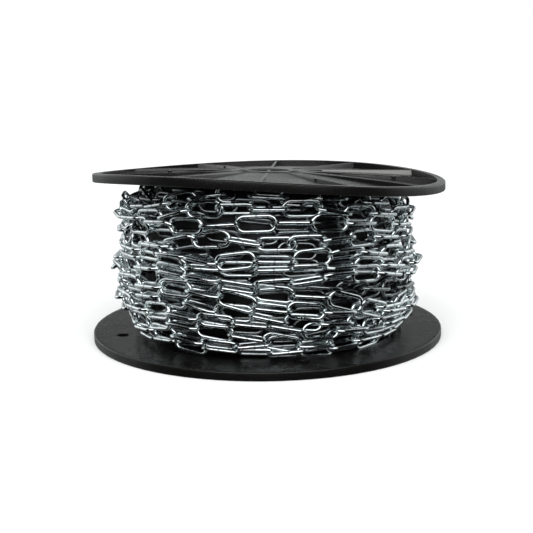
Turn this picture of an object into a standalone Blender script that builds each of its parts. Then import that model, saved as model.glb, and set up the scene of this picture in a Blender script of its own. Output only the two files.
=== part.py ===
"""Reel of 3 mm zinc-plated long-link chain on a black moulded plastic spool.

Metres, +Z up. The origin is the centre of the bottom flange's underside, on the floor.
-Y is the front. The reel stands on its bottom flange. The top flange is the same moulding
turned over, warped and tilted down at the back by the chain that is packed under it.
"""
import math

import bmesh
import bpy
from mathutils import Vector

# Flange moulding, measured from the face that the chain touches
FLANGE_RADIUS = 0.140
RIM_HEIGHT = 0.007
RIM_INNER_RADIUS = 0.1335
RIM_ROUNDING = 0.001
PLATE_THICKNESS_AT_RIM = 0.0024
RIB_COUNT = 12
RIB_HEIGHT = 0.0066
RIB_THICKNESS = 0.0018
RIB_SINK = 0.001
PAD_RADIUS = 0.002
PAD_PLACES = ((1, 0.038), (3, 0.079), (5, 0.079), (9, 0.079), (11, 0.099))
HUB_RADIUS = 0.027
BORE_RADIUS = 0.017
WEB_BAR_WIDTH = 0.005
WEB_RIB_WIDTH = 0.002
POCKET_INNER_RADIUS = 0.0195
POCKET_OUTER_RADIUS = 0.0245
POCKET_SPAN = (math.radians(-44.0), math.radians(-4.0))
TIE_HOLE_RADIUS = 0.005
TIE_HOLE_CIRCLE = 0.118
TIE_HOLE_COUNT = 4
TIE_HOLE_FROM_RIB = math.radians(-9.5)
CUT_OVERLAP = 0.002

# Facets: steps of a full turn, sides of a hole, and rings that let the faces bend
TURN_STEPS = 72
HOLE_SIDES = 12
OUTER_FACE_RINGS = (0.040, 0.070, 0.100)
INNER_FACE_RINGS = (0.110, 0.080, 0.050)
HARD_EDGE_ANGLE = math.radians(35.0)

# Turn of each moulding about the reel's axis
BOTTOM_FLANGE_TURN = math.radians(-3.6)
TOP_FLANGE_TURN = math.radians(27.0)

# Warp of the top flange
CLEAR_WIDTH = 0.1167
TOP_SHIFT = Vector((0.0029, 0.0033))
TOP_DROP_RIGHT = 0.0044
TOP_DROP_BACK = 0.0129
SADDLE_RISE = 0.0036
SADDLE_ANGLE = math.radians(65.0)
BOW_RISE = 0.0025

# Drum that joins the flanges
DRUM_RADIUS = 0.031
DRUM_WALL = 0.003
SEAT_GAP = 0.0005

# Chain: welded long links, 3 mm wire, 26 mm pitch, 14.5 mm wide
LINK_WIDTH = 0.0145
WIRE_DIAMETER = 0.003
ROW_COUNT = 11
LINKS_PER_TURN = 26
PACK_END_RADIUS = 0.100
PACK_MID_RADIUS = 0.115
PACK_BULGE_POWER = 3
LAYER_THICKNESS = 0.014
LAYER_GAP = 0.001
CORE_SHARES = (1.0, 0.85, 0.7, 0.3, 0.15, 0.0)
END_MARGIN = 0.008
VALLEY_DEPTH = 0.006
WINDOW_DEPTH = 0.0075
FLAT_LINK_HALF_ROW = 0.50
WINDOW_HALF_ROW = 0.25
EDGE_LINK_HALF_ROW = 0.16
EDGE_LINK_FLAT_HALF_ROW = 0.08
LINK_ENDS = (0.06, 0.94)
WINDOW_ENDS = (0.18, 0.82)
BOTTOM_CHAIN_GAP = 0.0005
TOP_CHAIN_GAP_BACK = 0.0015
TOP_CHAIN_GAP_FRONT = 0.002
ROW_WAVE = 0.0012
ROW_WAVE_SHIFT = 0.6

PLASTIC_COLOUR = (0.022, 0.022, 0.024, 1.0)
PLASTIC_ROUGHNESS = 0.42
ZINC_COLOUR = (0.62, 0.64, 0.66, 1.0)
ZINC_ROUGHNESS = 0.25


def clear_scene():
    for thing in list(bpy.data.objects):
        bpy.data.objects.remove(thing, do_unlink=True)


def make_collection(name):
    collection = bpy.data.collections.new(name)
    bpy.context.scene.collection.children.link(collection)
    return collection


def make_material(name, colour, roughness, metallic):
    material = bpy.data.materials.new(name)
    material.use_nodes = True
    shader = material.node_tree.nodes["Principled BSDF"]
    shader.inputs["Base Color"].default_value = colour
    shader.inputs["Roughness"].default_value = roughness
    shader.inputs["Metallic"].default_value = metallic
    material.diffuse_color = colour
    return material


def top_warp(x, y):
    """Height that the warp adds to the top flange at a place on it."""
    radius = math.hypot(x, y) / FLANGE_RADIUS
    angle = math.atan2(y, x)
    tilt = -(TOP_DROP_RIGHT * x + TOP_DROP_BACK * y) / FLANGE_RADIUS
    saddle = SADDLE_RISE * radius ** 2 * math.cos(2.0 * (angle - SADDLE_ANGLE))
    return tilt + saddle + BOW_RISE * (1.0 - radius ** 2)


def top_underside(x, y):
    """Height of the warped top flange's inner face above the floor."""
    return RIM_HEIGHT + CLEAR_WIDTH + top_warp(x - TOP_SHIFT.x, y - TOP_SHIFT.y)


def turned(name, profile, steps, closed):
    """A body turned about Z from (radius, height) points that run down its outer side."""
    mesh = bpy.data.meshes.new(name)
    edges = [(i, i + 1) for i in range(len(profile) - 1)]
    if closed:
        edges.append((len(profile) - 1, 0))
    mesh.from_pydata([(r, 0.0, z) for r, z in profile], edges, [])
    body = bpy.data.objects.new(name, mesh)
    bpy.context.scene.collection.objects.link(body)
    screw = body.modifiers.new("Turn", "SCREW")
    screw.axis = "Z"
    screw.steps = steps
    screw.render_steps = steps
    screw.use_merge_vertices = True
    screw.merge_threshold = 0.0001
    screw.use_smooth_shade = False
    return body


def outline_cutter(name, outlines, bottom, top):
    """Flat outlines, as lists of (x, y), extruded between two heights."""
    curve = bpy.data.curves.new(name, "CURVE")
    curve.dimensions = "2D"
    curve.fill_mode = "BOTH"
    curve.extrude = (top - bottom) / 2.0
    for outline in outlines:
        spline = curve.splines.new("POLY")
        spline.points.add(len(outline) - 1)
        for point, (x, y) in zip(spline.points, outline):
            point.co = (x, y, 0.0, 1.0)
        spline.use_cyclic_u = True
    drawn = bpy.data.objects.new(name + "_outline", curve)
    bpy.context.scene.collection.objects.link(drawn)
    drawn.location.z = (top + bottom) / 2.0
    return as_mesh(drawn, name)


def as_mesh(source, name):
    """The evaluated shape of an object as a new plain mesh object, with its caps welded."""
    bpy.context.view_layer.update()
    graph = bpy.context.evaluated_depsgraph_get()
    mesh = bpy.data.meshes.new_from_object(source.evaluated_get(graph))
    mesh.name = name
    solid = bmesh.new()
    solid.from_mesh(mesh)
    bmesh.ops.remove_doubles(solid, verts=solid.verts, dist=0.00001)
    solid.to_mesh(mesh)
    solid.free()
    result = bpy.data.objects.new(name, mesh)
    bpy.context.scene.collection.objects.link(result)
    result.matrix_world = source.matrix_world.copy()
    bpy.data.objects.remove(source, do_unlink=True)
    return result


def combine(body, cutter, cutters, operation):
    """Join the cutter to the body or take it away, and keep it among the cutting shapes."""
    for owner in list(cutter.users_collection):
        owner.objects.unlink(cutter)
    cutters.objects.link(cutter)
    cutter.hide_render = True
    cutter.display_type = "WIRE"
    modifier = body.modifiers.new(cutter.name, "BOOLEAN")
    modifier.operation = operation
    modifier.object = cutter


def arc(radius, start, end, count):
    """Points on a circle about the reel's axis, both ends included."""
    angles = [start + (end - start) * i / (count - 1) for i in range(count)]
    return [(radius * math.cos(a), radius * math.sin(a)) for a in angles]


def edge_angle(radius, offset):
    """Angle at which a line at an offset beside a radial line meets a circle."""
    return math.asin(offset / radius)


def rib_outline(angle):
    """A straight rib from inside the hub to inside the rim, with points where the face bends."""
    along = Vector((math.cos(angle), math.sin(angle)))
    across = Vector((-along.y, along.x)) * RIB_THICKNESS / 2.0
    ends = (HUB_RADIUS - RIB_SINK,) + OUTER_FACE_RINGS + (RIM_INNER_RADIUS + RIB_SINK,)
    right = [along * radius - across for radius in ends]
    left = [along * radius + across for radius in reversed(ends)]
    return [tuple(point) for point in right + left]


def circle_outline(circle, angle, radius):
    """A small circle whose centre lies on a circle about the reel's axis."""
    around = arc(radius, 0.0, 2.0 * math.pi * (1.0 - 1.0 / HOLE_SIDES), HOLE_SIDES)
    return [(circle * math.cos(angle) + x, circle * math.sin(angle) + y) for x, y in around]


def bore_outlines():
    """Three windows in the hub's bore: a half moon behind the web's bar, two in front of it."""
    bar = WEB_BAR_WIDTH / 2.0
    rib = WEB_RIB_WIDTH / 2.0
    low = edge_angle(BORE_RADIUS, bar)
    front = edge_angle(BORE_RADIUS, rib)
    behind = arc(BORE_RADIUS, low, math.pi - low, 13)
    right = arc(BORE_RADIUS, -math.pi / 2.0 + front, -low, 7) + [(rib, -bar)]
    left = [(-x, y) for x, y in reversed(right)]
    return [behind, right, left]


def pocket_outlines():
    """Two windows beside the bore, at the front right and the front left of the hub."""
    start, end = POCKET_SPAN
    right = arc(POCKET_OUTER_RADIUS, start, end, 5) + arc(POCKET_INNER_RADIUS, end, start, 5)
    left = [(-x, y) for x, y in reversed(right)]
    return [right, left]


def plate_top(radius):
    """Height of the plate's outer face, a shallow cone from the ribs' tops down to the rim."""
    share = (radius - HUB_RADIUS) / (RIM_INNER_RADIUS - HUB_RADIUS)
    return RIB_HEIGHT + (PLATE_THICKNESS_AT_RIM - RIB_HEIGHT) * share


def flange_profile():
    """Half section of the moulding, from the axis out over the outer face and back below."""
    rounding = []
    for corner, start in ((RIM_HEIGHT - RIM_ROUNDING, math.pi / 2.0), (RIM_ROUNDING, 0.0)):
        for i in range(4):
            angle = start - math.pi / 2.0 * i / 3
            rounding.append((FLANGE_RADIUS - RIM_ROUNDING * (1.0 - math.cos(angle)),
                             corner + RIM_ROUNDING * math.sin(angle)))
    hub = [(0.0, RIM_HEIGHT), (HUB_RADIUS, RIM_HEIGHT)]
    plate = [(radius, plate_top(radius))
             for radius in (HUB_RADIUS,) + OUTER_FACE_RINGS + (RIM_INNER_RADIUS,)]
    rim = [(RIM_INNER_RADIUS, RIM_HEIGHT)] + rounding
    inner_face = [(radius, 0.0) for radius in INNER_FACE_RINGS + (0.0,)]
    return hub + plate + rim + inner_face


def flange_moulding(name, turn, cutters):
    """The flange lying flat, its chain face down at z = 0, as one plain mesh."""
    body = turned(name + "_blank", flange_profile(), TURN_STEPS, closed=False)
    above = RIM_HEIGHT + CUT_OVERLAP
    below = -CUT_OVERLAP
    angles = [turn + 2.0 * math.pi * i / RIB_COUNT for i in range(RIB_COUNT)]
    ribs = [rib_outline(angle) for angle in angles]
    pads = [circle_outline(circle, angles[i], PAD_RADIUS) for i, circle in PAD_PLACES]
    first_hole = turn + TIE_HOLE_FROM_RIB
    holes = [circle_outline(TIE_HOLE_CIRCLE, first_hole + 2.0 * math.pi * i / TIE_HOLE_COUNT,
                            TIE_HOLE_RADIUS) for i in range(TIE_HOLE_COUNT)]
    through = bore_outlines() + pocket_outlines() + holes
    combine(body, outline_cutter(name + "_ribs", ribs, RIB_SINK, RIB_HEIGHT), cutters, "UNION")
    combine(body, outline_cutter(name + "_pads", pads, RIB_SINK, RIB_HEIGHT), cutters, "UNION")
    combine(body, outline_cutter(name + "_holes", through, below, above), cutters, "DIFFERENCE")
    return as_mesh(body, name)


def finish(body, parts, material):
    for owner in list(body.users_collection):
        owner.objects.unlink(body)
    parts.objects.link(body)
    body.data.materials.clear()
    body.data.materials.append(material)
    for face in body.data.polygons:
        face.material_index = 0
    body.data.shade_smooth()
    body.data.set_sharp_from_angle(angle=HARD_EDGE_ANGLE)


def bottom_flange(parts, cutters, plastic):
    """Outer face down, so the moulding is rolled half a turn about X and set on the floor."""
    body = flange_moulding("bottom_flange", BOTTOM_FLANGE_TURN, cutters)
    for vertex in body.data.vertices:
        vertex.co.y = -vertex.co.y
        vertex.co.z = RIM_HEIGHT - vertex.co.z
    finish(body, parts, plastic)


def top_flange(parts, cutters, plastic):
    body = flange_moulding("top_flange", TOP_FLANGE_TURN, cutters)
    for vertex in body.data.vertices:
        vertex.co.z += RIM_HEIGHT + CLEAR_WIDTH + top_warp(vertex.co.x, vertex.co.y)
        vertex.co.x += TOP_SHIFT.x
        vertex.co.y += TOP_SHIFT.y
    finish(body, parts, plastic)


def drum(parts, plastic):
    low = RIM_HEIGHT + SEAT_GAP
    inner = DRUM_RADIUS - DRUM_WALL
    profile = [(inner, 1.0), (DRUM_RADIUS, 1.0), (DRUM_RADIUS, 0.0), (inner, 0.0)]
    body = as_mesh(turned("drum_turned", profile, TURN_STEPS, closed=True), "drum")
    for vertex in body.data.vertices:
        high = top_underside(vertex.co.x, vertex.co.y) - SEAT_GAP
        vertex.co.z = low + vertex.co.z * (high - low)
    finish(body, parts, plastic)


def pack_height(x, y, share):
    """Height in the wound chain, from 0 on the bottom flange to 1 under the top flange."""
    low = RIM_HEIGHT + BOTTOM_CHAIN_GAP
    front = 0.5 - 0.5 * y / math.hypot(x, y)
    gap = TOP_CHAIN_GAP_BACK + (TOP_CHAIN_GAP_FRONT - TOP_CHAIN_GAP_BACK) * front
    high = top_underside(x, y) - gap
    return low + (high - low) * share


def pack_radius(share):
    """Radius of the middle of the outer layer's wire, a barrel from flange to flange."""
    bulge = 1.0 - abs(2.0 * share - 1.0) ** PACK_BULGE_POWER
    return PACK_END_RADIUS + (PACK_MID_RADIUS - PACK_END_RADIUS) * bulge


def layer_section(link, along):
    """Half section of the outer layer at a place along a link, as (radius, share of height)."""
    angle = 2.0 * math.pi * (link + along) / LINKS_PER_TURN
    points = []
    below = 0.0
    for row in range(ROW_COUNT):
        swell = ROW_WAVE * row * (ROW_COUNT - 1 - row)
        middle = (row + 0.5) / ROW_COUNT + swell * math.sin(2.0 * angle + ROW_WAVE_SHIFT * row)
        if (row + link) % 2 == 0:
            half, inner_half = FLAT_LINK_HALF_ROW, WINDOW_HALF_ROW
            radius = pack_radius(middle) + WIRE_DIAMETER / 2.0
            floor = radius - (WINDOW_DEPTH if along in WINDOW_ENDS else 0.0)
        else:
            half, inner_half = EDGE_LINK_HALF_ROW, EDGE_LINK_FLAT_HALF_ROW
            radius = pack_radius(middle) + LINK_WIDTH / 2.0
            floor = radius
        low = max(middle - half / ROW_COUNT, END_MARGIN)
        high = min(middle + half / ROW_COUNT, 1.0 - END_MARGIN)
        valley = (below + low) / 2.0 if row else 0.0
        below = high
        points.append((pack_radius(valley) - VALLEY_DEPTH, valley))
        points.append((radius, low))
        points.append((floor, middle - inner_half / ROW_COUNT))
        points.append((floor, middle + inner_half / ROW_COUNT))
        points.append((radius, high))
    points.append((PACK_END_RADIUS - VALLEY_DEPTH, 1.0))
    inner = [(pack_radius(share) - LAYER_THICKNESS, share) for share in CORE_SHARES]
    return points + inner


def chain_outer_layer(parts, zinc):
    """Loft between the sections of flat and edge-on links, which change places row by row.

    A flat link has its window cut into its face.
    """
    solid = bmesh.new()
    rings = []
    for link in range(LINKS_PER_TURN):
        for along in sorted(LINK_ENDS + WINDOW_ENDS):
            angle = 2.0 * math.pi * (link + along) / LINKS_PER_TURN
            ring = []
            for radius, share in layer_section(link, along):
                x = radius * math.cos(angle)
                y = radius * math.sin(angle)
                ring.append(solid.verts.new((x, y, pack_height(x, y, share))))
            rings.append(ring)
    count = len(rings[0])
    for i, ring in enumerate(rings):
        after = rings[(i + 1) % len(rings)]
        for j in range(count):
            k = (j + 1) % count
            solid.faces.new((ring[j], after[j], after[k], ring[k]))
    mesh = bpy.data.meshes.new("chain_outer_layer")
    solid.to_mesh(mesh)
    solid.free()
    body = bpy.data.objects.new("chain_outer_layer", mesh)
    bpy.context.scene.collection.objects.link(body)
    finish(body, parts, zinc)


def chain_core(parts, zinc):
    """Hidden inner turns: a plain barrel-shaped ring round the drum."""
    inner = DRUM_RADIUS + LAYER_GAP
    outer_side = [(pack_radius(s) - LAYER_THICKNESS - LAYER_GAP, s) for s in CORE_SHARES]
    profile = [(inner, 1.0)] + outer_side + [(inner, 0.0)]
    turned_core = turned("core_turned", profile, LINKS_PER_TURN * 2, closed=True)
    body = as_mesh(turned_core, "chain_core")
    for vertex in body.data.vertices:
        vertex.co.z = pack_height(vertex.co.x, vertex.co.y, vertex.co.z)
    finish(body, parts, zinc)


clear_scene()
reel = make_collection("reel_of_chain")
cutting_shapes = make_collection("cutters")
black_plastic = make_material("black_plastic", PLASTIC_COLOUR, PLASTIC_ROUGHNESS, 0.0)
zinc_plate = make_material("zinc_plate", ZINC_COLOUR, ZINC_ROUGHNESS, 1.0)
bottom_flange(reel, cutting_shapes, black_plastic)
top_flange(reel, cutting_shapes, black_plastic)
drum(reel, black_plastic)
chain_core(reel, zinc_plate)
chain_outer_layer(reel, zinc_plate)
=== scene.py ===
"""A reel of bright zinc-plated long-link chain on a black moulded plastic spool."""
import math
import random

import bmesh
import bpy
from mathutils import Matrix, Vector


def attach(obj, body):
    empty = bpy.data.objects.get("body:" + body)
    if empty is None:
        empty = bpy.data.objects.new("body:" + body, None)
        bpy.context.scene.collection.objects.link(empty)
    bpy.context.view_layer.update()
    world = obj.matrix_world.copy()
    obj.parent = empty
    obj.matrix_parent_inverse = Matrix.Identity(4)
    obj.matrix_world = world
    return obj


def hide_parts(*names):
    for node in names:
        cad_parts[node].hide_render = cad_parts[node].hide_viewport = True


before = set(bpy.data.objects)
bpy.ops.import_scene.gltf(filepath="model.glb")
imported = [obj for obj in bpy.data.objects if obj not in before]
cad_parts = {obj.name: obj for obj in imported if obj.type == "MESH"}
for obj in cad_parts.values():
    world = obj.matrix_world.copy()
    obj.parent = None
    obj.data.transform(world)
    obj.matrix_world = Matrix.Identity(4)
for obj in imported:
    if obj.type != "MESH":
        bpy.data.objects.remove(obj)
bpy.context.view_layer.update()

# Camera: a long lens at reel height, looking a little down on the bottom flange, with the
# slight lean of the photograph.
camera_data = bpy.data.cameras.new("camera")
camera_data.sensor_width = 36.0
camera_data.lens = 108.28
camera = bpy.data.objects.new("camera", camera_data)
bpy.context.scene.collection.objects.link(camera)
camera.location = (-0.0001, -1.26, 0.3295)
look_down = math.radians(90.0 - 12.281)
lean = math.radians(-0.854)
camera.rotation_euler = (Matrix.Rotation(look_down, 4, "X") @ Matrix.Rotation(lean, 4, "Z")).to_euler()
bpy.context.scene.camera = camera

# Studio: a white seamless floor under plain soft light. A wide soft box hangs in front, high
# up, white paper closes the sides and the back, and the camera's side stays dark, so that the
# bright wire shows thin lines of light at the front and turns pale towards the sides.
floor_mesh = bpy.data.meshes.new("floor")
floor_shape = bmesh.new()
bmesh.ops.create_grid(floor_shape, x_segments=1, y_segments=1, size=12.0)
floor_shape.to_mesh(floor_mesh)
floor_shape.free()
floor = bpy.data.objects.new("floor", floor_mesh)
bpy.context.scene.collection.objects.link(floor)
floor.visible_glossy = False

floor_paint = bpy.data.materials.new("floor_paint")
floor_paint.use_nodes = True
floor_shader = floor_paint.node_tree.nodes["Principled BSDF"]
floor_shader.inputs["Base Color"].default_value = (0.95, 0.95, 0.95, 1.0)
floor_shader.inputs["Roughness"].default_value = 0.9
floor_shader.inputs["Specular IOR Level"].default_value = 0.1
floor_mesh.materials.append(floor_paint)


def soft_box(name, place, aim, width, height, watts, tint):
    lamp = bpy.data.lights.new(name, "AREA")
    lamp.shape = "RECTANGLE"
    lamp.size = width
    lamp.size_y = height
    lamp.energy = watts
    lamp.color = tint
    light = bpy.data.objects.new(name, lamp)
    bpy.context.scene.collection.objects.link(light)
    light.location = place
    light.rotation_euler = (Vector(aim) - Vector(place)).to_track_quat("-Z", "Y").to_euler()
    light.visible_camera = False


soft_box("box_front", (0.0, -1.62, 0.95), (0.0, 0.0, 0.07), 3.2, 1.25, 34.0, (1.0, 1.0, 1.0))

world = bpy.data.worlds.new("studio_paper")
world.use_nodes = True
bpy.context.scene.world = world
air = world.node_tree.nodes
wires = world.node_tree.links
direction = air.new("ShaderNodeTexCoord")
split = air.new("ShaderNodeSeparateXYZ")
wires.new(direction.outputs["Generated"], split.inputs["Vector"])


def ramp(value, low, high, to_low, to_high):
    node = air.new("ShaderNodeMapRange")
    node.interpolation_type = "SMOOTHSTEP"
    for label, number in (("From Min", low), ("From Max", high),
                          ("To Min", to_low), ("To Max", to_high)):
        node.inputs[label].default_value = number
    wires.new(value, node.inputs["Value"])
    return node.outputs["Result"]


def combined(operation, first, second=None):
    node = air.new("ShaderNodeMath")
    node.operation = operation
    wires.new(first, node.inputs[0])
    if second:
        wires.new(second, node.inputs[1])
    return node.outputs["Value"]


sideways = combined("ABSOLUTE", split.outputs["X"])
back_paper = combined("MULTIPLY", ramp(split.outputs["Y"], 0.05, 0.8, 0.0, 0.75),
                      ramp(split.outputs["Z"], 0.07, 0.22, 1.0, 0.22))
side_paper = combined("MULTIPLY", ramp(sideways, 0.2, 0.6, 0.0, 1.1),
                      ramp(split.outputs["Y"], -0.25, 0.2, 0.0, 1.0))
above_floor = ramp(split.outputs["Z"], -0.15, 0.0, 0.35, 1.0)
seen = combined("MULTIPLY", combined("MAXIMUM", back_paper, side_paper), above_floor)
ray = air.new("ShaderNodeLightPath")
strength = air.new("ShaderNodeMix")
strength.inputs["A"].default_value = 1.1
wires.new(ray.outputs["Is Glossy Ray"], strength.inputs["Factor"])
wires.new(seen, strength.inputs["B"])
wires.new(strength.outputs["Result"], air["Background"].inputs["Strength"])
air["Background"].inputs["Color"].default_value = (0.98, 1.0, 1.0, 1.0)
bpy.context.scene.view_settings.view_transform = "Standard"

# Flange moulding: one black injection-moulded shape, used at both ends. The plate is a shallow
# cone outside and flat inside, with a raised rim, twelve thin radial ribs, and a hub whose
# bore is crossed by a web. Built on a polar grid whose lines follow the walls of the ribs.
MM = 0.001
flange_radius = 140 * MM
rim_height = 7 * MM
rim_inner = 133.5 * MM
hub_radius = 27 * MM
plate_at_rim = 2.4 * MM
rib_count = 12
rib_height = 6.6 * MM
rib_half = 0.9 * MM
wall_draft = 0.35 * MM
edge_break = 0.3 * MM
bottom_turn = math.radians(-3.6)
top_turn = math.radians(27.0)


def plate_top(radius):
    """Height of the plate's outer face, from the ribs' tops at the hub down to the rim."""
    share = (radius - hub_radius) / (rim_inner - hub_radius)
    return rib_height + (plate_at_rim - rib_height) * min(max(share, 0.0), 1.0)


def moulding_columns(radius):
    """Angles from one rib to the next at a radius, each with the height that stands there."""
    half = rib_half / radius
    top = (rib_half - edge_break) / radius
    foot = (rib_half + wall_draft) / radius
    after = 2.0 * math.pi / rib_count
    plate = plate_top(radius)
    shoulder = max(rib_height - edge_break, plate)
    columns = [(-half, shoulder), (-top, rib_height), (top, rib_height), (half, shoulder)]
    columns += [(foot + (after - 2.0 * foot) * i / 6, plate) for i in range(7)]
    return columns


def moulding_rings():
    """Radius and height of each ring, from the outer face's middle round to the inner face's.

    A ring without a height of its own follows the plate and the ribs.
    """
    rings = [(8 * MM, rim_height), (18 * MM, rim_height),
             (hub_radius - edge_break, rim_height), (hub_radius, rim_height - edge_break)]
    rings += [(radius * MM, None) for radius in (27.6, 36, 48, 60, 72, 84, 96, 108, 120, 128)]
    rings += [(rim_inner - wall_draft, None), (rim_inner, rim_height - edge_break),
              (rim_inner + edge_break, rim_height), (137 * MM, rim_height)]
    rounding = 1 * MM
    for corner, start in ((rim_height - rounding, 0.5 * math.pi), (rounding, 0.0)):
        for i in range(5):
            angle = start - 0.5 * math.pi * i / 4
            rings.append((flange_radius - rounding * (1.0 - math.cos(angle)),
                          corner + rounding * math.sin(angle)))
    rings += [(radius * MM, 0.0) for radius in (136, 124, 112, 100, 88, 76, 64, 52, 40, 30, 20, 10)]
    return rings


def flange_mesh(name, turn):
    """The moulding lying with its inner face down at height 0, still without its holes."""
    shape = bmesh.new()
    loops = []
    for radius, ring_height in moulding_rings():
        walls_at = min(max(radius, hub_radius), rim_inner)
        loop = []
        for rib in range(rib_count):
            for angle, height in moulding_columns(walls_at):
                a = turn + angle + 2.0 * math.pi * rib / rib_count
                z = height if ring_height is None else ring_height
                loop.append(shape.verts.new((radius * math.cos(a), radius * math.sin(a), z)))
        loops.append(loop)
    count = len(loops[0])
    for near, far in zip(loops, loops[1:]):
        for i in range(count):
            j = (i + 1) % count
            shape.faces.new((near[i], far[i], far[j], near[j]))
    for loop, height in ((loops[0], rim_height), (loops[-1], 0.0)):
        pole = shape.verts.new((0.0, 0.0, height))
        for i in range(count):
            shape.faces.new((loop[i], loop[(i + 1) % count], pole))
    bmesh.ops.recalc_face_normals(shape, faces=shape.faces)
    mesh = bpy.data.meshes.new(name)
    shape.to_mesh(mesh)
    shape.free()
    return mesh


bore_radius = 17 * MM
web_bar_half = 2.5 * MM
web_rib_half = 1 * MM
pocket_inner = 19.5 * MM
pocket_outer = 24.5 * MM
tie_hole_radius = 5 * MM
tie_hole_circle = 118 * MM
tie_hole_from_rib = math.radians(-9.5)
pad_radius = 2 * MM
pad_places = ((1, 38 * MM), (3, 79 * MM), (5, 79 * MM), (9, 79 * MM), (11, 99 * MM))


def arc(radius, start, end, count):
    angles = [start + (end - start) * i / (count - 1) for i in range(count)]
    return [(radius * math.cos(a), radius * math.sin(a)) for a in angles]


def hole_outlines(turn):
    """Everything that goes right through the moulding: hub windows and tie holes."""
    low = math.asin(web_bar_half / bore_radius)
    front = math.asin(web_rib_half / bore_radius)
    half_moon = arc(bore_radius, low, math.pi - low, 25)
    right = arc(bore_radius, -0.5 * math.pi + front, -low, 13) + [(web_rib_half, -web_bar_half)]
    start, end = math.radians(-44.0), math.radians(-4.0)
    pocket = arc(pocket_outer, start, end, 9) + arc(pocket_inner, end, start, 9)
    outlines = [half_moon, right, pocket]
    outlines += [[(-x, y) for x, y in reversed(outline)] for outline in (right, pocket)]
    for i in range(4):
        angle = turn + tie_hole_from_rib + 0.5 * math.pi * i
        centre_x, centre_y = tie_hole_circle * math.cos(angle), tie_hole_circle * math.sin(angle)
        outlines.append([(centre_x + x, centre_y + y)
                         for x, y in arc(tie_hole_radius, 0.0, 2.0 * math.pi * 23 / 24, 24)])
    return outlines


def pad_outlines(turn):
    """Round ejector pads that stand in the ribs' lines."""
    outlines = []
    for rib, circle in pad_places:
        angle = turn + 2.0 * math.pi * rib / rib_count
        outlines.append([(circle * math.cos(angle) + x, circle * math.sin(angle) + y)
                         for x, y in arc(pad_radius, 0.0, 2.0 * math.pi * 15 / 16, 16)])
    return outlines


def combine(blank_mesh, outlines, bottom, top, operation):
    """The mesh joined with upright prisms that stand on the outlines, or less them."""
    blank = bpy.data.objects.new("blank", blank_mesh)
    bpy.context.scene.collection.objects.link(blank)
    prisms = bmesh.new()
    for outline in outlines:
        face = prisms.faces.new([prisms.verts.new((x, y, bottom)) for x, y in outline])
        grown = bmesh.ops.extrude_face_region(prisms, geom=[face])
        lifted = [v for v in grown["geom"] if isinstance(v, bmesh.types.BMVert)]
        bmesh.ops.translate(prisms, verts=lifted, vec=(0.0, 0.0, top - bottom))
    bmesh.ops.recalc_face_normals(prisms, faces=prisms.faces)
    prism_mesh = bpy.data.meshes.new("prisms")
    prisms.to_mesh(prism_mesh)
    prisms.free()
    tool = bpy.data.objects.new("prisms", prism_mesh)
    bpy.context.scene.collection.objects.link(tool)
    boolean = blank.modifiers.new("prisms", "BOOLEAN")
    boolean.operation = operation
    boolean.object = tool
    bpy.context.view_layer.update()
    graph = bpy.context.evaluated_depsgraph_get()
    combined = bpy.data.meshes.new_from_object(blank.evaluated_get(graph))
    bpy.data.objects.remove(blank, do_unlink=True)
    bpy.data.objects.remove(tool, do_unlink=True)
    return combined


def flange_moulding(name, turn):
    padded = combine(flange_mesh(name, turn), pad_outlines(turn), 1 * MM, rib_height, "UNION")
    return combine(padded, hole_outlines(turn), -2 * MM, 10 * MM, "DIFFERENCE")


def black_plastic(name):
    """Satin black moulded plastic: a stippled mould grain, mottled gloss, dust, and painted light that
    greys the rib walls facing the front.
    """
    material = bpy.data.materials.new(name)
    material.use_nodes = True
    nodes = material.node_tree.nodes
    links = material.node_tree.links
    shader = nodes["Principled BSDF"]
    place = nodes.new("ShaderNodeTexCoord")

    def noise(scale, detail, roughness=0.5):
        node = nodes.new("ShaderNodeTexNoise")
        node.inputs["Scale"].default_value = scale
        node.inputs["Detail"].default_value = detail
        node.inputs["Roughness"].default_value = roughness
        links.new(place.outputs["Object"], node.inputs["Vector"])
        return node.outputs["Fac"]

    def span(value, low, high, to_low, to_high):
        node = nodes.new("ShaderNodeMapRange")
        node.inputs["From Min"].default_value = low
        node.inputs["From Max"].default_value = high
        node.inputs["To Min"].default_value = to_low
        node.inputs["To Max"].default_value = to_high
        links.new(value, node.inputs["Value"])
        return node.outputs["Result"]

    mottle = noise(24.0, 6.0, 0.65)
    links.new(span(mottle, 0.3, 0.7, 0.22, 0.32), shader.inputs["Roughness"])
    shader.inputs["Specular IOR Level"].default_value = 0.42
    dust = span(noise(900.0, 3.0, 0.8), 0.70, 0.80, 0.0, 0.35)
    tone = nodes.new("ShaderNodeMix")
    tone.data_type = "RGBA"
    tone.inputs["A"].default_value = (0.0030, 0.0028, 0.0026, 1.0)
    tone.inputs["B"].default_value = (0.10, 0.098, 0.095, 1.0)
    links.new(dust, tone.inputs["Factor"])
    # Painted light: the attribute below greys the rib walls that face the front, standing in for the
    # light that falls on them.
    painted_light_input = nodes.new("ShaderNodeAttribute")
    painted_light_input.attribute_name = "painted_wall_light"
    painted_light_mix = nodes.new("ShaderNodeMix")
    painted_light_mix.data_type = "RGBA"
    painted_light_mix.inputs["B"].default_value = (0.30, 0.295, 0.285, 1.0)
    links.new(painted_light_input.outputs["Fac"], painted_light_mix.inputs["Factor"])
    links.new(tone.outputs["Result"], painted_light_mix.inputs["A"])
    links.new(painted_light_mix.outputs["Result"], shader.inputs["Base Color"])
    relief = nodes.new("ShaderNodeBump")
    relief.inputs["Strength"].default_value = 0.5
    relief.inputs["Distance"].default_value = 0.00025
    links.new(noise(1100.0, 2.0), relief.inputs["Height"])
    swell = nodes.new("ShaderNodeBump")
    swell.inputs["Strength"].default_value = 0.35
    swell.inputs["Distance"].default_value = 0.0006
    links.new(noise(70.0, 3.0), swell.inputs["Height"])
    links.new(swell.outputs["Normal"], relief.inputs["Normal"])
    links.new(relief.outputs["Normal"], shader.inputs["Normal"])
    return material


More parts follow.
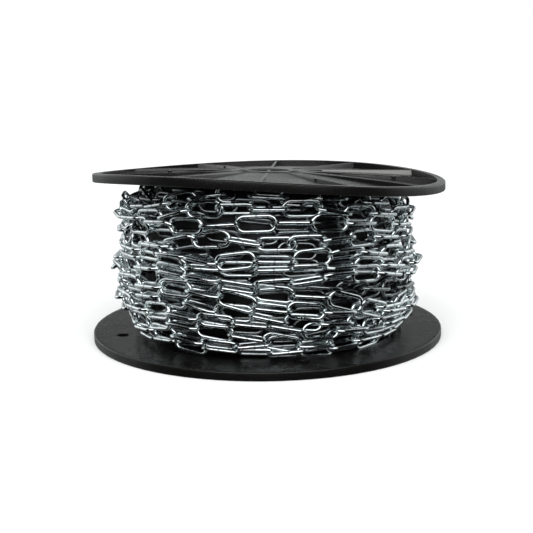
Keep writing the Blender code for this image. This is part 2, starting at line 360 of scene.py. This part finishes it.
def finish_flange(name, mesh, node):
    mesh.name = name
    mesh.materials.clear()
    mesh.materials.append(flange_plastic)
    mesh.shade_smooth()
    mesh.set_sharp_from_angle(angle=math.radians(32.0))
    flange = bpy.data.objects.new(name, mesh)
    bpy.context.scene.collection.objects.link(flange)
    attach(flange, "root")
    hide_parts(node)
    return flange


flange_plastic = black_plastic("flange_plastic")

# Bottom flange: the moulding with its ribs to the floor, so only its smooth inner face and
# its rim show. It is flat, and the whole reel stands on its rim.
bottom_mesh = flange_moulding("bottom_blank", bottom_turn)
for vertex in bottom_mesh.vertices:
    vertex.co.y = -vertex.co.y
    vertex.co.z = rim_height - vertex.co.z
finish_flange("bottom_flange_moulding", bottom_mesh, "bottom_flange")

# Top flange: the same moulding the other way up. The chain packed under it has bent it: it
# drops at the back and the right, lifts at the front, bows at the hub and twists at the rim.
clear_width = 116.7 * MM
top_shift = Vector((2.9 * MM, 3.3 * MM, 0.0))
drop_right = 4.4 * MM
drop_back = 12.9 * MM
saddle_rise = 3.6 * MM
saddle_angle = math.radians(65.0)
bow_rise = 2.5 * MM


def top_warp(x, y):
    reach = math.hypot(x, y) / flange_radius
    tilt = -(drop_right * x + drop_back * y) / flange_radius
    saddle = saddle_rise * reach ** 2 * math.cos(2.0 * (math.atan2(y, x) - saddle_angle))
    return tilt + saddle + bow_rise * (1.0 - reach ** 2)


def top_underside(x, y):
    return rim_height + clear_width + top_warp(x - top_shift.x, y - top_shift.y)


# Painted light: the front-facing walls of some ribs are made grey to stand in for the light that falls
# on them: the rib's number and how grey it is.
rib_walls_painted_light = {0: 0.9, 1: 0.15, 3: 0.25, 4: 0.3}


def paint_light_on_rib_walls(mesh, turn):
    wall_light_values = mesh.attributes.new("painted_wall_light", "FLOAT", "FACE")
    for polygon in mesh.polygons:
        x, y, _ = polygon.center
        rib = round((math.atan2(y, x) - turn) / math.radians(30.0)) % rib_count
        line = turn + math.radians(30.0) * rib
        beside_line = abs(y * math.cos(line) - x * math.sin(line))
        # Only walls that face the front, where the light falls, get the painted light.
        on_wall = (abs(polygon.normal.z) < 0.6 and polygon.normal.y < -0.1
                   and hub_radius < math.hypot(x, y) < rim_inner - 1 * MM
                   and beside_line < 1.6 * MM)
        wall_light_values.data[polygon.index].value = rib_walls_painted_light.get(rib, 0.0) if on_wall else 0.0


top_mesh = flange_moulding("top_blank", top_turn)
paint_light_on_rib_walls(top_mesh, top_turn)
for vertex in top_mesh.vertices:
    vertex.co.z += rim_height + clear_width + top_warp(vertex.co.x, vertex.co.y)
    vertex.co += top_shift
finish_flange("top_flange_moulding", top_mesh, "top_flange")

# Drum: the plain tube of the same plastic that the chain is wound on. It only shows through
# the windows of the hub, so the frame's own node stays.
drum_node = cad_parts["drum"]
drum_node.data.materials.clear()
drum_node.data.materials.append(flange_plastic)

# Chain: welded long links of 3 mm wire, 32 mm over the ends and 14.5 mm wide, zinc plated and
# bright. One length is wound on turn by turn; each link hooks the next at a quarter turn.
wire = 3 * MM
link_length = 32 * MM
link_width = 14.5 * MM
link_pitch = 26 * MM
pack_low = 7.5 * MM


def zinc_plate(name, cool, warm):
    """Bright zinc: a cool mirror with slight waviness, and a dull ring at the welded joint."""
    material = bpy.data.materials.new(name)
    material.use_nodes = True
    nodes = material.node_tree.nodes
    links = material.node_tree.links
    shader = nodes["Principled BSDF"]
    shader.inputs["Metallic"].default_value = 1.0
    place = nodes.new("ShaderNodeTexCoord")
    cloud = nodes.new("ShaderNodeTexNoise")
    cloud.inputs["Scale"].default_value = 180.0
    cloud.inputs["Detail"].default_value = 3.0
    links.new(place.outputs["Object"], cloud.inputs["Vector"])
    tint = nodes.new("ShaderNodeMix")
    tint.data_type = "RGBA"
    tint.inputs["A"].default_value = cool
    tint.inputs["B"].default_value = warm
    links.new(cloud.outputs["Fac"], tint.inputs["Factor"])
    in_link = nodes.new("ShaderNodeAttribute")
    in_link.attribute_name = "link_place"
    along = nodes.new("ShaderNodeSeparateXYZ")
    links.new(in_link.outputs["Vector"], along.inputs["Vector"])
    from_joint = nodes.new("ShaderNodeMath")
    from_joint.operation = "ABSOLUTE"
    links.new(along.outputs["X"], from_joint.inputs[0])
    joint = nodes.new("ShaderNodeMapRange")
    joint.inputs["From Min"].default_value = 0.0003
    joint.inputs["From Max"].default_value = 0.0008
    joint.inputs["To Min"].default_value = 0.55
    joint.inputs["To Max"].default_value = 0.0
    links.new(from_joint.outputs["Value"], joint.inputs["Value"])
    joint_side = nodes.new("ShaderNodeMath")
    joint_side.operation = "GREATER_THAN"
    links.new(along.outputs["Y"], joint_side.inputs[0])
    joint_side.inputs[1].default_value = 0.0
    weld = nodes.new("ShaderNodeMath")
    weld.operation = "MULTIPLY"
    links.new(joint.outputs["Result"], weld.inputs[0])
    links.new(joint_side.outputs["Value"], weld.inputs[1])
    welded = nodes.new("ShaderNodeMix")
    welded.data_type = "RGBA"
    welded.inputs["B"].default_value = (0.10, 0.10, 0.10, 1.0)
    links.new(weld.outputs["Value"], welded.inputs["Factor"])
    links.new(tint.outputs["Result"], welded.inputs["A"])
    links.new(welded.outputs["Result"], shader.inputs["Base Color"])
    haze = nodes.new("ShaderNodeMapRange")
    haze.inputs["To Min"].default_value = 0.05
    haze.inputs["To Max"].default_value = 0.16
    links.new(cloud.outputs["Fac"], haze.inputs["Value"])
    links.new(haze.outputs["Result"], shader.inputs["Roughness"])
    ripple = nodes.new("ShaderNodeTexNoise")
    ripple.inputs["Scale"].default_value = 420.0
    links.new(place.outputs["Object"], ripple.inputs["Vector"])
    relief = nodes.new("ShaderNodeBump")
    relief.inputs["Strength"].default_value = 0.25
    relief.inputs["Distance"].default_value = 0.0003
    links.new(ripple.outputs["Fac"], relief.inputs["Height"])
    links.new(relief.outputs["Normal"], shader.inputs["Normal"])
    return material


chain_zinc = zinc_plate("chain_zinc", (0.66, 0.76, 0.79, 1.0), (0.88, 0.90, 0.89, 1.0))


def link_tree(name, material):
    """Geometry Nodes: a wire link on every point, along its axis and flat to its normal."""
    tree = bpy.data.node_groups.new(name, "GeometryNodeTree")
    face = tree.interface
    face.new_socket("Geometry", in_out="INPUT", socket_type="NodeSocketGeometry")
    for label, value in (("Link Length", link_length), ("Link Width", link_width),
                         ("Wire", wire)):
        socket = face.new_socket(label, in_out="INPUT", socket_type="NodeSocketFloat")
        socket.default_value = value
    for label, value in (("Wire Sides", 8), ("Bend Steps", 5)):
        socket = face.new_socket(label, in_out="INPUT", socket_type="NodeSocketInt")
        socket.default_value = value
    face.new_socket("Geometry", in_out="OUTPUT", socket_type="NodeSocketGeometry")
    nodes = tree.nodes
    links = tree.links
    given = nodes.new("NodeGroupInput")
    result = nodes.new("NodeGroupOutput")

    def minus(a, b):
        node = nodes.new("ShaderNodeMath")
        node.operation = "SUBTRACT"
        links.new(a, node.inputs[0])
        links.new(b, node.inputs[1])
        return node.outputs[0]

    def times(a, factor):
        node = nodes.new("ShaderNodeMath")
        node.operation = "MULTIPLY"
        links.new(a, node.inputs[0])
        node.inputs[1].default_value = factor
        return node.outputs[0]

    path_length = minus(given.outputs["Link Length"], given.outputs["Wire"])
    path_width = minus(given.outputs["Link Width"], given.outputs["Wire"])
    path = nodes.new("GeometryNodeCurvePrimitiveQuadrilateral")
    links.new(path_length, path.inputs["Width"])
    links.new(path_width, path.inputs["Height"])
    bend = nodes.new("GeometryNodeFilletCurve")
    bend.mode = "POLY"
    links.new(path.outputs["Curve"], bend.inputs["Curve"])
    links.new(given.outputs["Bend Steps"], bend.inputs["Count"])
    links.new(times(path_width, 0.499), bend.inputs["Radius"])
    section = nodes.new("GeometryNodeCurvePrimitiveCircle")
    links.new(given.outputs["Wire Sides"], section.inputs["Resolution"])
    links.new(times(given.outputs["Wire"], 0.5), section.inputs["Radius"])
    sweep = nodes.new("GeometryNodeCurveToMesh")
    links.new(bend.outputs["Curve"], sweep.inputs["Curve"])
    links.new(section.outputs["Curve"], sweep.inputs["Profile Curve"])
    smooth = nodes.new("GeometryNodeSetShadeSmooth")
    links.new(sweep.outputs["Mesh"], smooth.inputs["Geometry"])
    local = nodes.new("GeometryNodeInputPosition")
    marked = nodes.new("GeometryNodeStoreNamedAttribute")
    marked.data_type = "FLOAT_VECTOR"
    marked.domain = "POINT"
    marked.inputs["Name"].default_value = "link_place"
    links.new(smooth.outputs["Geometry"], marked.inputs["Geometry"])
    links.new(local.outputs["Position"], marked.inputs["Value"])

    def point_vector(label):
        node = nodes.new("GeometryNodeInputNamedAttribute")
        node.data_type = "FLOAT_VECTOR"
        node.inputs["Name"].default_value = label
        return node.outputs["Attribute"]

    aim = nodes.new("FunctionNodeAxesToRotation")
    aim.primary_axis = "X"
    aim.secondary_axis = "Z"
    links.new(point_vector("link_axis"), aim.inputs["Primary Axis"])
    links.new(point_vector("link_normal"), aim.inputs["Secondary Axis"])
    place = nodes.new("GeometryNodeInstanceOnPoints")
    links.new(given.outputs["Geometry"], place.inputs["Points"])
    links.new(marked.outputs["Geometry"], place.inputs["Instance"])
    links.new(aim.outputs["Rotation"], place.inputs["Rotation"])
    real = nodes.new("GeometryNodeRealizeInstances")
    links.new(place.outputs["Instances"], real.inputs["Geometry"])
    paint = nodes.new("GeometryNodeSetMaterial")
    paint.inputs["Material"].default_value = material
    links.new(real.outputs["Geometry"], paint.inputs["Geometry"])
    links.new(paint.outputs["Geometry"], result.inputs["Geometry"])
    return tree


chain_links = link_tree("chain_links", chain_zinc)


def hang_links(name, runs, sides, bends):
    """Links between the joints of each run; a link's plane is rolled about its own axis."""
    points = []
    axes = []
    normals = []
    for joints, rolls in runs:
        for (start, end), roll in zip(zip(joints, joints[1:]), rolls):
            middle = (start + end) / 2.0
            axis = (end - start).normalized()
            outward = Vector((middle.x, middle.y, 0.0)).normalized()
            outward = (outward - axis * outward.dot(axis)).normalized()
            normals.append(Matrix.Rotation(math.radians(roll), 3, axis) @ outward)
            points.append(middle)
            axes.append(axis)
    mesh = bpy.data.meshes.new(name)
    mesh.from_pydata(points, [], [])
    for label, vectors in (("link_axis", axes), ("link_normal", normals)):
        layer = mesh.attributes.new(label, "FLOAT_VECTOR", "POINT")
        layer.data.foreach_set("vector", [c for v in vectors for c in v])
    run = bpy.data.objects.new(name, mesh)
    bpy.context.scene.collection.objects.link(run)
    modifier = run.modifiers.new("links", "NODES")
    modifier.node_group = chain_links
    for item in chain_links.interface.items_tree:
        if item.name == "Wire Sides" and item.in_out == "INPUT":
            modifier[item.identifier] = sides
        if item.name == "Bend Steps" and item.in_out == "INPUT":
            modifier[item.identifier] = bends
    bpy.context.view_layer.update()
    graph = bpy.context.evaluated_depsgraph_get()
    real = bpy.data.meshes.new_from_object(run.evaluated_get(graph))
    real.name = name
    run.modifiers.remove(modifier)
    run.data = real
    return run


# Outer turns of the chain: one helix of fourteen turns from the bottom flange to the top one.
# The joints that show at the front are given one by one, as (azimuth, height in mm, roll of the
# link that starts there, depth in mm under the pack's face); 0 lies flat, 90 stands on edge.
front_turns = (
    ((-68, 11, 90), (-54, 13.5, 85), (-40, 16, 0), (-27, 14, 80), (-12, 11.5, 60),
     (1.5, 12, 90), (14.5, 14, 0), (26.5, 12.5, 90), (40.5, 13, 0), (54, 13, 90), (68, 13, 20)),
    ((-66, 19, 90), (-53, 21.5, 20), (-39.5, 22, 90), (-26, 19, 50), (-12.5, 18, 90),
     (1, 19, 20, 7), (14, 20, 90, 8), (27, 20, 20, 8), (40, 21, 90, 6), (53, 22, 20, 3), (66, 22, 90)),
    ((-68, 26, 20), (-55, 28, 0), (-42, 32, 90), (-27, 30.5, 0), (-14.5, 28, 90),
     (-1, 23.5, 0), (12.5, 17.5, 90), (26, 16, 0), (38.5, 15.5, 90), (51, 14.5, 20), (64, 15, 90)),
    ((-66, 37, 90), (-53, 38.5, 0), (-40, 41, 90), (-26, 39, 30), (-12.5, 38, 90),
     (0.5, 35, 80, 3), (14, 29.5, 0), (27.5, 27.5, 90), (40.5, 26, 0), (54, 24, 90), (67, 23, 20)),
    ((-72, 44, 20), (-59, 48, 90), (-46, 51, 0), (-32, 50.5, 90), (-19, 45.5, 0), (-6, 44, 90),
     (7, 38, 0), (20.5, 34.5, 90), (33, 32.5, 0), (46, 31, 90), (59, 30, 20), (72, 30, 90)),
    ((-68, 55, 20), (-55, 58, 90), (-42, 60, 0), (-29.5, 60.5, 90), (-17, 58, 0),
     (-4.8, 51.5, 100), (8, 48, 0), (21, 44, 90), (34, 41, 0), (47, 40, 90), (60, 38, 20),
     (72, 37, 90)),
    ((-72, 60, 90), (-59, 63, 0), (-46, 66.5, 30), (-31, 65, 55), (-17.5, 65, 90),
     (-4, 60.5, 5, 3), (9, 58, 80), (22.5, 55, 0, -5), (36, 45.5, 15, -6), (49, 36.5, 90, -5),
     (62, 33, 20, -3), (73, 33, 90)),
    ((-72, 68, 20), (-59, 70, 90), (-45, 73, 20), (-31, 72, 90), (-17.5, 70, 75),
     (-4, 66.5, 45), (9, 68, 90), (20.5, 70, 60), (33.5, 69.5, 0), (46, 67, 90), (59, 61, 20),
     (72, 56, 90)),
    ((-72, 75, 90), (-59, 77, 20), (-46, 79, 20), (-31, 78, 90), (-17, 77.5, 20, 3),
     (-4, 78.5, 90), (9, 78.5, 60), (22.5, 77, 90), (35.5, 76, 15), (48.5, 72, 90),
     (61.5, 67, 20), (73, 64, 90)),
    ((-70, 83, 90), (-57, 84, 0), (-44, 85, 85), (-31, 85, 90, 2), (-18, 82.5, 0),
     (-4.5, 86.5, 100), (10, 85.5, 0), (24, 86, 50), (37, 86, 90), (49, 81, 20), (62, 77, 90),
     (73, 74, 10)),
    ((-66, 90, 0), (-53, 90, 90), (-41, 91, 40), (-27.5, 98, 0), (-14.5, 100.5, 90),
     (-1.5, 97, 130), (9, 96.5, 10), (21.7, 95.5, 60), (34, 95.5, 0), (47, 94, 90),
     (60, 90, 30), (72, 86, 90)),
    ((-64, 101, 5), (-51, 104, 50), (-38, 106.5, 0), (-24.5, 109, 80), (-10.5, 111.5, 0),
     (3.5, 112, 75), (18, 110.5, 0), (31.5, 108.5, 90), (44.5, 105.5, 0), (58, 100, 90),
     (71, 96, 20)),
    ((-70, 105, 90), (-57.5, 108, 10), (-45, 111, 90), (-31.2, 119.5, 0), (-18, 121.5, 45),
     (-5.5, 122, 90), (8, 121.5, 0), (21, 120.5, 95), (33.5, 115, 5), (46, 111.5, 85),
     (59, 107, 20), (72, 103, 90)),
    ((-70, 112, 80, 2), (-57, 116, 90, 3), (-44, 121.5, 10, 4), (-31.5, 127, 85, 5),
     (-19, 131, 5, 5), (-6, 132, 90, 6), (8, 130.5, 10, 6), (21, 128, 80, 5), (34, 124, 15, 4),
     (47, 119, 90, 3), (60, 115, 20, 2), (72, 111, 90)),
)
side_stand = ((-1, 0), (0, 2), (5, 0), (1, 1), (-1, 6), (4, -1), (3, 2), (-2, 0), (-2, 5),
              (-2, -1), (1, -2), (3, 0), (4, 5), (-4, -3))


def pack_high(x, y):
    return top_underside(x, y) - 1.5 * MM


def pack_radius(z, high):
    share = min(max((z - pack_low) / (high - pack_low), 0.0), 1.0)
    return (102.5 + 14.0 * (1.0 - abs(2.0 * share - 1.0) ** 3)) * MM


def around(azimuth, radius):
    """A place round the reel; azimuth 0 is the front and grows to the right, in degrees."""
    a = math.radians(azimuth)
    return radius * math.sin(a), -radius * math.cos(a)


def blend(low, high, share):
    return low + (high - low) * (0.5 - 0.5 * math.cos(math.pi * share))


def joint_place(azimuth, height, depth):
    """A joint's place on the pack, kept between the flanges."""
    x, y = around(azimuth, 105 * MM)
    high = pack_high(x, y)
    z = min(max(height, pack_low + 5.0 * MM), high - 5.0 * MM)
    narrow = 2.5 * MM * math.sin(math.radians(azimuth)) ** 2
    x, y = around(azimuth, pack_radius(z, high) - narrow - depth)
    return Vector((x, y, z))


def outer_run(chance):
    """Joints and rolls of the whole outer layer, bottom turn first."""
    joints = []
    rolls = []
    for turn, front in enumerate(front_turns):
        left, right = side_stand[turn]
        lift = (1.2 if turn % 2 else -1.2) * MM

        def lay(azimuth, height, roll, depth):
            stand = (right if math.sin(math.radians(azimuth)) > 0.0 else left) * MM
            stand *= math.sin(math.radians(azimuth)) ** 4
            joints.append(joint_place(azimuth, height, depth - stand - lift
                                      + chance.uniform(-0.8, 0.8) * MM))
            rolls.append(roll)

        for azimuth, height, roll, *depth in front:
            lay(azimuth, height * MM, roll, sum(depth) * MM)
        if turn + 1 == len(front_turns):
            break
        x, y = around(180.0, 105 * MM)
        share = (turn + 1.0) / len(front_turns)
        back = pack_low + (pack_high(x, y) - pack_low) * share
        start, start_height, roll = front[-1][:3]
        end, end_height = front_turns[turn + 1][0][:2]
        end += 360.0
        count = round(math.radians(end - start) * 110 * MM / link_pitch)
        for i in range(1, count):
            azimuth = start + (end - start) * i / count
            if azimuth < 180.0:
                height = blend(start_height * MM, back, (azimuth - start) / (180.0 - start))
            else:
                height = blend(back, end_height * MM, (azimuth - 180.0) / (end - 180.0))
            roll += 90.0 + chance.gauss(0.0, 14.0)
            lay(azimuth, height + chance.uniform(-1.5, 1.5) * MM, roll, 0.0)
    return joints, rolls


outer_turns = hang_links("chain_outer_turns", [outer_run(random.Random(7))], 8, 5)
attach(outer_turns, "root")
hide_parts("chain_outer_layer")

# Second layer of turns, seen through the outer one and one link's depth further in. At the
# right one of its turns comes up between the outer ones, and goes down again at the side.
second_turn_count = 11
second_depth = 8.5 * MM
rising_turn = ((3, 64, 90, 8.5), (15, 63.5, 80, 3), (27, 60, 20), (39.5, 57, 90), (50.5, 53, 0),
               (63, 49, 90), (75, 47, 15), (88, 46, 90, 3), (101, 45, 20, 8.5))


def second_run(chance):
    joints = []
    rolls = []
    roll = 0.0
    count = round(second_turn_count * 2.0 * math.pi * 104 * MM / link_pitch)
    for i in range(count):
        azimuth = 360.0 * second_turn_count * i / count
        x, y = around(azimuth, 105 * MM)
        share = (i + 0.5) / count
        height = pack_low + (pack_high(x, y) - pack_low) * share + chance.uniform(-2.0, 2.0) * MM
        joints.append(joint_place(azimuth, height, second_depth + chance.uniform(-1.0, 1.0) * MM))
        rolls.append(roll)
        roll += 90.0 + chance.gauss(0.0, 14.0)
    return joints, rolls


rising = ([joint_place(azimuth, height * MM, sum(depth) * MM)
           for azimuth, height, roll, *depth in rising_turn],
          [joint[2] for joint in rising_turn])
second_turns = hang_links("chain_second_turns", [second_run(random.Random(11)), rising], 6, 4)
# Painted shade: the inner turns get a darker copy of the zinc, standing in for the shade that the
# outer turns cast on them.
zinc_in_painted_shade = zinc_plate("zinc_in_painted_shade", (0.20, 0.23, 0.24, 1.0), (0.30, 0.31, 0.31, 1.0))
second_turns.data.materials.clear()
second_turns.data.materials.append(zinc_in_painted_shade)
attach(second_turns, "root")

# Core: the hidden inner turns, a plain ring behind the links, near-black as painted shade for the
# shaded turns inside.
core_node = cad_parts["chain_core"]
core_painted_shade = bpy.data.materials.new("core_painted_shade")
core_painted_shade.use_nodes = True
core_shader = core_painted_shade.node_tree.nodes["Principled BSDF"]
# Near-black: painted shade in place of the inner turns' zinc.
core_shader.inputs["Base Color"].default_value = (0.008, 0.008, 0.009, 1.0)
core_shader.inputs["Metallic"].default_value = 0.6
core_shader.inputs["Roughness"].default_value = 0.5
core_node.data.materials.clear()
core_node.data.materials.append(core_painted_shade)
